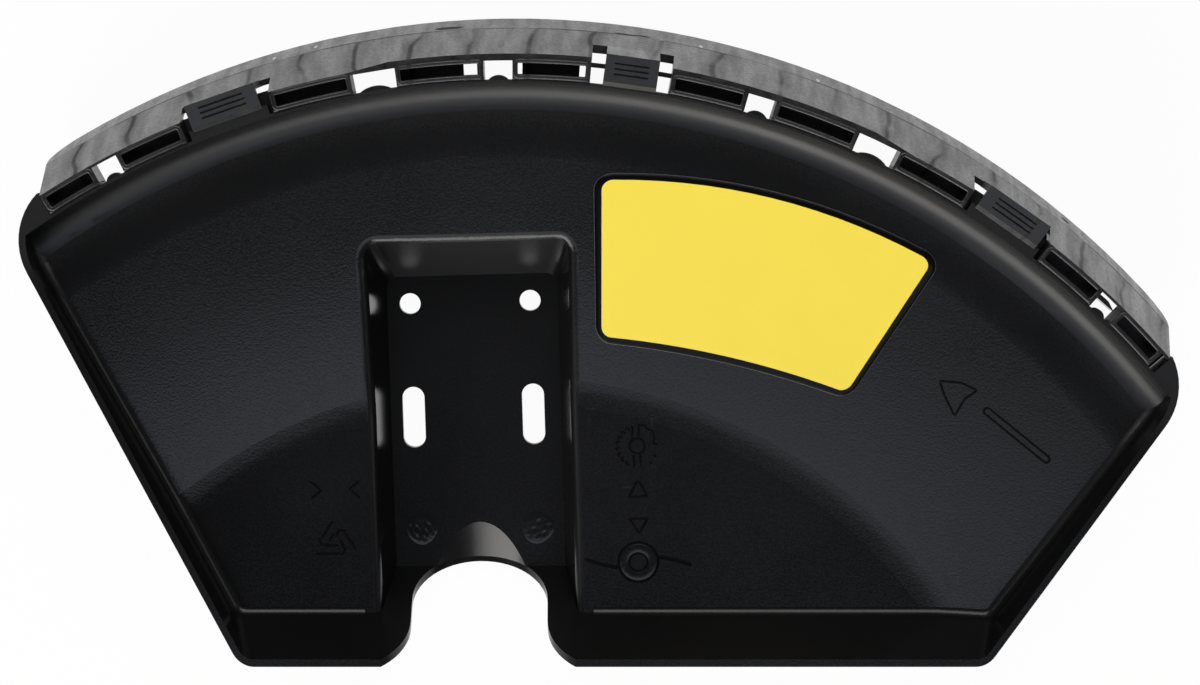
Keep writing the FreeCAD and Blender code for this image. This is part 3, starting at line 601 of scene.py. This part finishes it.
def label_points():
    """Rings from the label's foot on the plate up its edge and in to its middle, with each ring's distance
    from the edge."""
    corners = np.array(LABEL_CORNERS)
    width = (np.hypot(*(corners[2] - corners[1])) + np.hypot(*(corners[3] - corners[0]))) / 2
    height = (np.hypot(*(corners[1] - corners[0])) + np.hypot(*(corners[2] - corners[3]))) / 2
    middle = np.array([width, height]) / 2
    rings, depths, lifts = [], [], []
    edge_rings = ((0.0, 0.0), (0.0, LABEL_THICK - LABEL_EDGE), (LABEL_EDGE, LABEL_THICK),
                  (MARGIN, LABEL_THICK))
    for inset, lift in edge_rings:
        sides = (width - 2 * inset, height - 2 * inset)
        rings.append(rounded_outline(*sides, LABEL_CORNER_R - inset, OUTLINE_COUNT) + inset)
        depths.append(inset)
        lifts.append(lift)
    for share in np.linspace(FIELD_START, 0.0, FIELD_RINGS):
        rings.append(middle + share * (rings[3] - middle))
        depths.append(MARGIN + (1 - share) * (height / 2 - MARGIN))
        lifts.append(LABEL_THICK)
    rings = np.array(rings)
    plan = bowed_sheet(rings[..., 0] / width, rings[..., 1] / height)
    up = plate_height(plan[..., 0], plan[..., 1]) + np.array(lifts)[:, None]
    depth = np.repeat(np.array(depths)[:, None], rings.shape[1], axis=1)
    return np.concatenate([plan, up[..., None]], axis=-1), depth


points, depth = label_points()
print("label:", points.shape[0], "rings of", points.shape[1], "points")

# %% Printed film
LABEL_YELLOW = (0.900, 0.720, 0.085)
LABEL_BLACK = (0.0030, 0.0030, 0.0031)
INK_FADE, INK_SCALE, INK_EDGE = 0.965, 55.0, 0.06
FLAW_TONE, FLAW_SHARE = (0.45, 0.30, 0.03), 0.5
FLAW_SPACING, FLAW_SIZE = 30.0 * MM, 0.3 * MM
# The grey on the film's cut edge is a painted highlight.
CUT_HIGHLIGHT_TONE, CUT_HIGHLIGHT_SHARE, CUT_HIGHLIGHT_DEPTHS = (0.2, 0.2, 0.2), 0.6, (0.02, 0.16)
FILM_SCALE, FILM_HEIGHT, FILM_STRENGTH = 420.0, 0.1 * MM, 0.12
ROUGH_FILM = (0.18, 0.22)
FILM_SPECULAR = 0.10


def label_film():
    """Printed film: black to the margin's width with a painted highlight on its cut edge, then yellow, with
    slightly uneven ink.
    """
    finish, tree, shader, place = new_finish("label_film")
    depth = add(tree, "Attribute", {"attribute_name": "edge_distance"}).outputs["Fac"]
    field = spread(tree, depth, MARGIN - INK_EDGE, MARGIN + INK_EDGE, 0.0, 1.0)
    ink = noise(tree, place, INK_SCALE, 3.0)
    yellow = blend_colours(tree, ink, LABEL_YELLOW, tuple(INK_FADE * c for c in LABEL_YELLOW))
    flaw = specks(tree, place, FLAW_SPACING, FLAW_SIZE)
    yellow = blend_colours(tree, sums(tree, "MULTIPLY", flaw, FLAW_SHARE), yellow, FLAW_TONE)
    # Painted highlight: the black is greyed along the cut edge.
    cut = spread(tree, depth, *CUT_HIGHLIGHT_DEPTHS, 1.0, 0.0)
    black = blend_colours(tree, sums(tree, "MULTIPLY", cut, CUT_HIGHLIGHT_SHARE), LABEL_BLACK, CUT_HIGHLIGHT_TONE)
    tree.links.new(blend_colours(tree, field, black, yellow), shader.inputs["Base Color"])
    tree.links.new(spread(tree, ink, *NOISE_RANGE, *ROUGH_FILM), shader.inputs["Roughness"])
    shader.inputs["Specular IOR Level"].default_value = FILM_SPECULAR
    ripple = noise(tree, place, FILM_SCALE, 2.0)
    relief = add(tree, "Bump", Height=ripple, Strength=FILM_STRENGTH, Distance=FILM_HEIGHT)
    tree.links.new(relief.outputs[0], shader.inputs["Normal"])
    return finish


faces = grid_faces(*points.shape[:2], False, True)
label = new_piece("label_print", points, faces, label_film(), "label_film")
placed = np.array([v.co for v in label.data.vertices]) / MM
flat = points.reshape(-1, 3)
nearest = np.array([np.argmin(((flat - p) ** 2).sum(axis=1)) for p in placed])
edge_distance = label.data.attributes.new("edge_distance", "FLOAT", "POINT")
edge_distance.data.foreach_set("value", depth.reshape(-1)[nearest])
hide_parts("label")
print("label:", len(label.data.polygons), "faces")

# %% [markdown]
# ## The marks in the mould
# Small raised lines on the plate say which tool turns under the guard and which way: a toothed blade, a
# line head with its two lines, two pointers and an arrow. Others tell the sort of plastic. The toolmaker
# cuts them into the mould, so they stand proud with soft edges. Bump could draw them, but it has no edge
# from the side, so each is a bead: a low round profile carried along a path on the plate, closed at its ends.


# %% Bead helpers
BEAD_POINTS = 14
BEAD_SUNK = 0.1


def bead(path, width, height, closed=False, ground=plate_height):
    """A rounded line along a plan path in mm. At each point the profile is an ellipse in the plane across the
    path, width wide, as high as height above the ground, and sunk by the share BEAD_SUNK of that below it; at
    open ends it shrinks to a point."""
    path = np.asarray(path, float)
    if closed:
        ahead = np.roll(path, -1, axis=0) - np.roll(path, 1, axis=0)
    else:
        ahead = np.gradient(path, axis=0)
    ahead /= np.hypot(ahead[:, 0], ahead[:, 1])[:, None]
    across = np.stack([-ahead[:, 1], ahead[:, 0]], axis=-1)
    shrink = np.ones(len(path))
    if not closed:
        shrink[[0, -1]] = 0.0
    angle = np.linspace(0.0, 2 * math.pi, BEAD_POINTS, endpoint=False)
    sideways = 0.5 * width * np.cos(angle)
    upwards = np.where(np.sin(angle) > 0, height, BEAD_SUNK * height) * np.sin(angle)
    plan = path[:, None] + (shrink[:, None] * sideways)[..., None] * across[:, None]
    level = ground(plan[..., 0], plan[..., 1]) + shrink[:, None] * upwards
    points = np.concatenate([plan, level[..., None]], axis=-1)
    return points.reshape(-1, 3), grid_faces(len(path), BEAD_POINTS, closed, True)


def join_beads(beads):
    """Several beads as one list of points and one of faces."""
    starts = np.cumsum([0] + [len(points) for points, _ in beads[:-1]])
    faces = np.concatenate([faces + start for (_, faces), start in zip(beads, starts)])
    return np.concatenate([points for points, _ in beads]), faces


print("bead helpers ready")

# %% Paths for the beads
RUN_STEP = 0.8


def run(*corners):
    """Points along straight runs between plan corners, about RUN_STEP apart."""
    corners = np.asarray(corners, float)
    parts = []
    for start, end in zip(corners, corners[1:]):
        count = max(2, int(np.hypot(*(end - start)) / RUN_STEP))
        parts.append(start + np.linspace(0.0, 1.0, count, endpoint=False)[:, None] * (end - start))
    return np.concatenate(parts + [corners[-1:]])


def circle(x, y, radius, start=0.0, end=360.0, count=40):
    """Points on a circle about a plan place, from one angle to another in degrees."""
    angle = np.radians(np.linspace(start, end, count, endpoint=end - start < 360.0))
    return np.stack([x + radius * np.cos(angle), y + radius * np.sin(angle)], axis=-1)


print("path helpers ready")

# %% [markdown]
# ## The finish of the marks
# The fine lines of the marks have steep sides that turn away from the light, so they read as thin dark lines
# on the grained plate. At this size the sides are too small to show that by themselves, so the lines get a
# duller finish and a deeper black, which is painted shade. The raised ring of the line head is wide enough to
# keep the guard's plastic.

# %% Mark finish
# Painted shade: the marks' black is darker than the guard's plastic.
MARK_SHADE_DARK = (0.0010, 0.0010, 0.0011)
MARK_SHADE_PALE = (0.0032, 0.0032, 0.0034)
ROUGH_BLACK = (0.5, 0.7)
MARK_SPECULAR = 0.06
MARK_SCALE = 300.0


def mark_shade_black():
    """Dull deep black, painted shade for the lines' steep sides, a little uneven."""
    finish, tree, shader, place = new_finish("mark_shade_black")
    uneven = noise(tree, place, MARK_SCALE, 2.0)
    tree.links.new(blend_colours(tree, uneven, MARK_SHADE_DARK, MARK_SHADE_PALE), shader.inputs["Base Color"])
    tree.links.new(spread(tree, uneven, *NOISE_RANGE, *ROUGH_BLACK), shader.inputs["Roughness"])
    shader.inputs["Specular IOR Level"].default_value = MARK_SPECULAR
    return finish


mark_shade_finish = mark_shade_black()
print("finish for the marks:", mark_shade_finish.name)

# %% [markdown]
# ## The blade, the line head and the arrows
# The signs are drawn from a few corners each, measured from their middles. The blade is broken open like a
# section: teeth on the left half, a stepped line on the right. Below it two pointers lead to the line head, a
# ring with a line on each side. The toothed rim is a loop over angles, and the rest are straight runs,
# circles and bars.

# %% Toothed blade and pointers
BEAD_WIDTH = 0.75
BEAD_HEIGHT = 0.25
BLADE = np.array([54.1, -46.8])
BLADE_HUB_R = 2.5
TEETH_DEGREES = (112.0, 236.0)
TOOTH_STEP_DEGREES = 17.0


def line(*corners):
    """One bead along straight runs."""
    return bead(run(*corners), BEAD_WIDTH, BEAD_HEIGHT)


def about_blade(*offsets):
    """A line whose corners are given from the blade's middle."""
    return line(*(BLADE + np.array(offset) for offset in offsets))


beads = [bead(circle(*BLADE, BLADE_HUB_R), BEAD_WIDTH, BEAD_HEIGHT, True)]
for angle in np.radians(np.arange(*TEETH_DEGREES, TOOTH_STEP_DEGREES)):
    out = np.array([math.cos(angle), math.sin(angle)])
    lean = np.array([-math.sin(angle), math.cos(angle)])
    beads.append(about_blade(5.6 * out, 6.9 * out + 0.7 * lean, 6.2 * out + 1.7 * lean))
beads.append(about_blade((0.6, 2.6), (0.6, 7.0), (2.7, 6.7), (3.2, 5.6),
                         (5.2, 4.8), (5.6, 2.2), (5.2, 0.7), (6.8, 0.5)))
beads += [about_blade((-1.5, 2.4), (-1.5, 7.2)), about_blade((-1.2, -2.4), (-1.2, -7.6)),
          about_blade((1.0, -2.4), (1.0, -6.4)), about_blade((5.2, -3.0), (6.2, -3.6)),
          about_blade((3.9, -5.0), (4.6, -5.9))]
for tip_y, base_y in ((-57.9, -63.5), (-75.8, -70.8)):
    beads.append(line((54.0, tip_y), (51.0, base_y), (57.0, base_y), (54.0, tip_y)))
blade_marks = new_piece("blade_marks", *join_beads(beads), mark_shade_finish, "guard_plastic")
print("blade marks:", len(blade_marks.data.polygons), "faces")

# %% Line head
HEAD = np.array([53.5, -85.2])
HEAD_R = 6.5
HUB_R = 3.0
RAISED_R, RAISED_WIDTH, RAISED_HEIGHT = 4.7, 3.2, 0.2
HEAD_BEAD_WIDTH, ARM_WIDTH, HEAD_BEAD_HEIGHT = 0.9, 1.2, 0.35
ARM_LENGTH, ARM_START, ARM_BOW = 11.2, 1.6, 1.5

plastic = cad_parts["guard_body"].data.materials[0]
ring = bead(circle(*HEAD, RAISED_R), RAISED_WIDTH, RAISED_HEIGHT, True)
head_ring = new_piece("head_ring", *ring, plastic, "guard_plastic")
beads = [bead(circle(*HEAD, HEAD_R), HEAD_BEAD_WIDTH, HEAD_BEAD_HEIGHT, True),
         bead(circle(*HEAD, HUB_R), BEAD_WIDTH, BEAD_HEIGHT, True)]
share = np.linspace(0.0, 1.0, 20)
for side in (-1.0, 1.0):
    bent = ARM_START * (1 - share) - ARM_BOW * share ** 2
    arm = HEAD + side * np.stack([HEAD_R + ARM_LENGTH * share, bent], axis=-1)
    beads.append(bead(arm, ARM_WIDTH, HEAD_BEAD_HEIGHT))
head_marks = new_piece("head_marks", *join_beads(beads), mark_shade_finish, "guard_plastic")
print("line head:", len(head_ring.data.polygons) + len(head_marks.data.polygons), "faces")

# %% Turning arrow
BAR_START, BAR_END = np.array([168.1, -37.6]), np.array([187.0, -53.8])
BAR_HALF_WIDTH = 1.1


def stadium(start, end, half_width):
    """Points round a bar with half-round ends: two half circles about its ends, joined by straight runs."""
    turned = math.degrees(math.atan2(*(end - start)[::-1]))
    far = circle(*end, half_width, turned - 90, turned + 90, 12)
    near = circle(*start, half_width, turned + 90, turned + 270, 12)
    return np.concatenate([run(far[-1], near[0])[:-1], near, run(near[-1], far[0])[1:-1], far])


turn_beads = [line((152.8, -27.2), (159.6, -28.0), (165.0, -30.6)),
              line((165.0, -30.6), (160.8, -33.4), (157.6, -39.0)),
              line((157.6, -39.0), (154.4, -32.2), (152.8, -27.2)),
              bead(stadium(BAR_START, BAR_END, BAR_HALF_WIDTH), BEAD_WIDTH, BEAD_HEIGHT, True)]
print("turning arrow:", len(turn_beads), "beads")

# %% Material marks
TRIANGLE = np.array([(-45.7, -67.6), (-53.6, -79.4), (-38.4, -79.6)])
OUTER_START, OUTER_END = 1.2, 5.6
INNER_START, INNER_END = 4.4, 6.4
BAND_WIDTH = 2.6
TIP_BACK, TIP_IN = 4.2, 1.2
TIP_LENGTH, TIP_HALF_WIDTH = 1.6, 2.2

turn_beads += [line((-53.4, -55.4), (-49.8, -58.4), (-53.4, -61.4)),
               line((-37.0, -55.4), (-40.6, -58.4), (-37.0, -61.4))]
for first in range(3):
    start, end = TRIANGLE[first], TRIANGLE[(first + 1) % 3]
    along = (end - start) / np.hypot(*(end - start))
    inward = np.array([-along[1], along[0]])
    inner = BAND_WIDTH * inward
    turn_beads.append(line(start + OUTER_START * along, end - OUTER_END * along))
    turn_beads.append(line(start + INNER_START * along + inner, end - INNER_END * along + inner))
    tip = end - TIP_BACK * along + TIP_IN * inward
    back = tip - TIP_LENGTH * along
    turn_beads.append(line(back - TIP_HALF_WIDTH * inward, tip, back + TIP_HALF_WIDTH * inward))
turn_marks = new_piece("turn_marks", *join_beads(turn_beads), mark_shade_finish, "guard_plastic")
print("turn and material marks:", len(turn_marks.data.polygons), "faces")

# %% [markdown]
# ## Ejector marks
# Where the pins of the mould pushed the part out, the pocket's floor keeps two rough round marks. Each is a
# low disc of rings, whose height is a sum of small waves in random directions, so that it looks torn and not
# turned.

# %% Ejector marks
EJECTOR_PLACES = ((-18.6, -75.8), (20.3, -76.6))
EJECTOR_R = 5.4
EJECTOR_HEIGHT = 0.12
EJECTOR_FOOT = 0.02
EJECTOR_UNROUND = 0.05
DISC_RINGS, DISC_SPOKES = 20, 60
WAVE_COUNT = 8
WAVE_HEIGHT = 0.012
WAVE_NUMBER = 2.2


def ejector_disc(x, y, seed):
    """Rough disc over the pocket floor at height 0: rings of points, whose height is EJECTOR_HEIGHT plus a
    sum of small waves across the plan in random directions, and falls almost to the floor at the rim."""
    draw = np.random.default_rng(seed)
    share = np.linspace(0.0, 1.0, DISC_RINGS)[:, None]
    angle = np.linspace(0.0, 2 * math.pi, DISC_SPOKES, endpoint=False)[None, :]
    radius = EJECTOR_R * share * (1 + EJECTOR_UNROUND * np.sin(3 * angle + seed))
    across, along = radius * np.cos(angle), radius * np.sin(angle)
    waves = 0.0
    for _ in range(WAVE_COUNT):
        phase = draw.normal(0, WAVE_NUMBER) * across + draw.normal(0, WAVE_NUMBER) * along
        waves = waves + WAVE_HEIGHT * np.sin(phase + draw.uniform(0, 6))
    up = (EJECTOR_HEIGHT + waves) * (1 - share ** 6) + EJECTOR_FOOT
    points = np.stack([x + across, y + along, up], axis=-1)
    return points.reshape(-1, 3), grid_faces(*up.shape, False, True)


discs = [ejector_disc(*spot, seed) for seed, spot in enumerate(EJECTOR_PLACES)]
ejector_marks = new_piece("ejector_marks", *join_beads(discs), plastic, "guard_plastic")
print("ejector marks:", len(ejector_marks.data.polygons), "faces")

# %% [markdown]
# ## Front walls and rims of the cells
# Each cell of the skirt's clip row is a small box with a rounded rim. Its front wall is a thin strip that
# stands just behind the tray's rim. A modifier could thicken a sheet to make it, but a profile gives the
# round top at once: the strip is an upright profile carried along the arc from rib to rib, and the rim is a
# bead round the cell's mouth.

# %% Front walls of the cells
FRONT_R = 272.15
FRONT_HALF = 0.4
FRONT_LOW, FRONT_TOP = 35.9, 46.2
FRONT_COUNT = 24


def on_arc(radius, angle):
    """Plan place in mm at a radius in mm and an angle in radians about the arc's centre, from +Y to +X."""
    return ARC_CENTRE[0] / MM + radius * np.sin(angle), ARC_CENTRE[1] / MM + radius * np.cos(angle)


def cell_front(first, last):
    """An upright strip on an arc: the profile, in radius and height, is two sides and a half circle on top,
    carried from one angle to the other and drawn together to a line at both ends."""
    turn = np.linspace(0.0, math.pi, 7)
    across = np.concatenate([[-FRONT_HALF, FRONT_HALF], FRONT_HALF * np.cos(turn)])
    up = np.concatenate([[FRONT_LOW, FRONT_LOW], FRONT_TOP - FRONT_HALF + FRONT_HALF * np.sin(turn)])
    angle = np.radians(np.concatenate([[first], np.linspace(first, last, FRONT_COUNT), [last]]))[:, None]
    width = np.ones((FRONT_COUNT + 2, 1))
    width[[0, -1]] = 0.0
    radius = FRONT_R + width * across
    points = np.stack([*on_arc(radius, angle), np.broadcast_to(up, radius.shape)], axis=-1)
    return points.reshape(-1, 3), grid_faces(FRONT_COUNT + 2, len(up), False, True)


print("front walls", 2 * FRONT_HALF, "mm thick")

# %% Rims of the cells
CLIP_MID_DEGREES = 9.5
CELLS = ((2.65, 7.8), (9.7, 15.5), (18.45, 23.9), (30.0, 34.7), (36.5, 40.4))
LEDGE_Z = 46.0
RIM_START_R = 272.6
RIM_DEPTH = 5.0
RIM_CORNER_R = 1.2
RIM_WIDTH = 1.6
RIM_HEIGHT = 0.4


def ledge_top(x, y):
    """Height of the clip row's upper faces, the same everywhere."""
    return np.full_like(x, LEDGE_Z)


def cell_rim(first, last):
    """A rounded bead round a cell's mouth: a rectangle with round corners over the length of arc and the
    radius, bent onto the arc, with its middle line half a bead inside the ribs."""
    length = np.radians(abs(last - first)) * RIM_START_R - RIM_WIDTH
    outline = rounded_outline(length, RIM_DEPTH, RIM_CORNER_R, 5)
    angle = np.radians(min(first, last)) + (outline[:, 0] + RIM_WIDTH / 2) / RIM_START_R
    plan = np.stack(on_arc(RIM_START_R + outline[:, 1], angle), axis=-1)
    return bead(plan, RIM_WIDTH, RIM_HEIGHT, True, ledge_top)


spans = [(CLIP_MID_DEGREES + side * start, CLIP_MID_DEGREES + side * end)
         for start, end in CELLS for side in (1, -1)]
fronts = [piece for span in spans for piece in (cell_front(*span), cell_rim(*span))]
skirt_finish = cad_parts["extension_skirt"].data.materials[0]
cell_fronts = new_piece("cell_fronts", *join_beads(fronts), skirt_finish, "skirt_plastic")
print("cell fronts and rims:", len(cell_fronts.data.polygons), "faces")

# %% [markdown]
# ## Floor and background
# The part lies on a pale studio floor. The camera, and mirror-like reflections, see most of the floor as
# pure white, which is how a cut-out product picture looks; a share of plain diffuse white is kept, so the
# part's shadow still falls on it. The world is white to the camera as well, and a dim grey to everything
# else. Lamps on the floor could bleach it too, but they would bleach the part with it.

# %% Floor and world
FLOOR_Z = -12.2 * MM
FLOOR_HALF = 4.0
WHITE_SHARE = 0.95
WORLD_LIGHT = 0.08


def seen_share(tree):
    """1 for rays from the camera and from mirror-like or clear surfaces, else 0."""
    path = add(tree, "LightPath").outputs
    seen = sums(tree, "MAXIMUM", path["Is Camera Ray"], path["Is Glossy Ray"])
    return sums(tree, "MAXIMUM", seen, path["Is Transmission Ray"])


def floor_white():
    """Diffuse white, mixed with plain white light for the rays that show the background."""
    finish = bpy.data.materials.new("floor_white")
    finish.use_nodes = True
    tree = finish.node_tree
    tree.nodes.clear()
    plain = add(tree, "BsdfDiffuse", Color=(0.9, 0.9, 0.9, 1.0)).outputs[0]
    white = add(tree, "Emission", Color=(1.0, 1.0, 1.0, 1.0), Strength=1.0).outputs[0]
    share = sums(tree, "MULTIPLY", seen_share(tree), WHITE_SHARE)
    mixed = add(tree, "MixShader", _0=share, _1=plain, _2=white).outputs[0]
    add(tree, "OutputMaterial", Surface=mixed)
    return finish


plane = np.array([(-1, -1, 0), (1, -1, 0), (1, 1, 0), (-1, 1, 0)]) * FLOOR_HALF + (0, 0, FLOOR_Z)
floor_mesh = bpy.data.meshes.new("floor")
floor_mesh.from_pydata(plane.tolist(), [], [(0, 1, 2, 3)])
floor_mesh.materials.append(floor_white())
floor = bpy.data.objects.new("floor", floor_mesh)
bpy.context.scene.collection.objects.link(floor)

world = bpy.data.worlds.new("studio")
bpy.context.scene.world = world
world.use_nodes = True
tree = world.node_tree
tree.nodes.clear()
camera_ray = add(tree, "LightPath").outputs["Is Camera Ray"]
room = add(tree, "Background", Color=(0.94, 0.97, 1.0, 1.0), Strength=WORLD_LIGHT).outputs[0]
white = add(tree, "Background", Color=(1.0, 1.0, 1.0, 1.0), Strength=1.0).outputs[0]
add(tree, "OutputWorld", Surface=add(tree, "MixShader", _0=camera_ray, _1=room, _2=white).outputs[0])
print("floor at", FLOOR_Z, "m")

# %% [markdown]
# ## Light
# Black plastic shows hardly any colour of its own, so its picture is made by what it reflects. One dome of
# light would flatten it, so each of five softboxes has its place because of what mirrors it. The wide one
# high beyond the base shows in the plate's rising ring, and ends where the level plate would see it. The low
# one in front draws the bright band on the arc's fillet, more on the right. The one at the back lights the
# label and the skirt, and two weak ones at the sides draw the edges.

# %% Softboxes
AIM = Vector((0.045, -0.01, 0.02))
COOL = (0.92, 0.96, 1.12)
WARM = (1.02, 1.00, 0.97)
SOFTBOXES = (
    ("softbox_base", (0.045, -3.19, 5.108), 5.2, 3.33, 68.0, COOL),
    ("softbox_front", (-1.33, -2.60, 1.05), 3.6, 2.0, 140.0, WARM),
    ("softbox_back", (0.045, 1.40, 2.00), 2.0, 1.2, 27.0, WARM),
    ("softbox_left", (-1.45, 0.15, 0.80), 0.9, 0.8, 2.0, WARM),
    ("softbox_right", (1.55, 0.15, 0.80), 0.9, 0.8, 2.0, WARM),
)
for name, spot, width, height, power, tint in SOFTBOXES:
    lamp = bpy.data.lights.new(name, "AREA")
    lamp.shape = "RECTANGLE"
    lamp.size, lamp.size_y, lamp.energy, lamp.color = width, height, power, tint
    holder = bpy.data.objects.new(name, lamp)
    bpy.context.scene.collection.objects.link(holder)
    holder.location = spot
    holder.rotation_euler = (AIM - Vector(spot)).to_track_quat("-Z", "Y").to_euler()
print("softboxes:", len(SOFTBOXES))
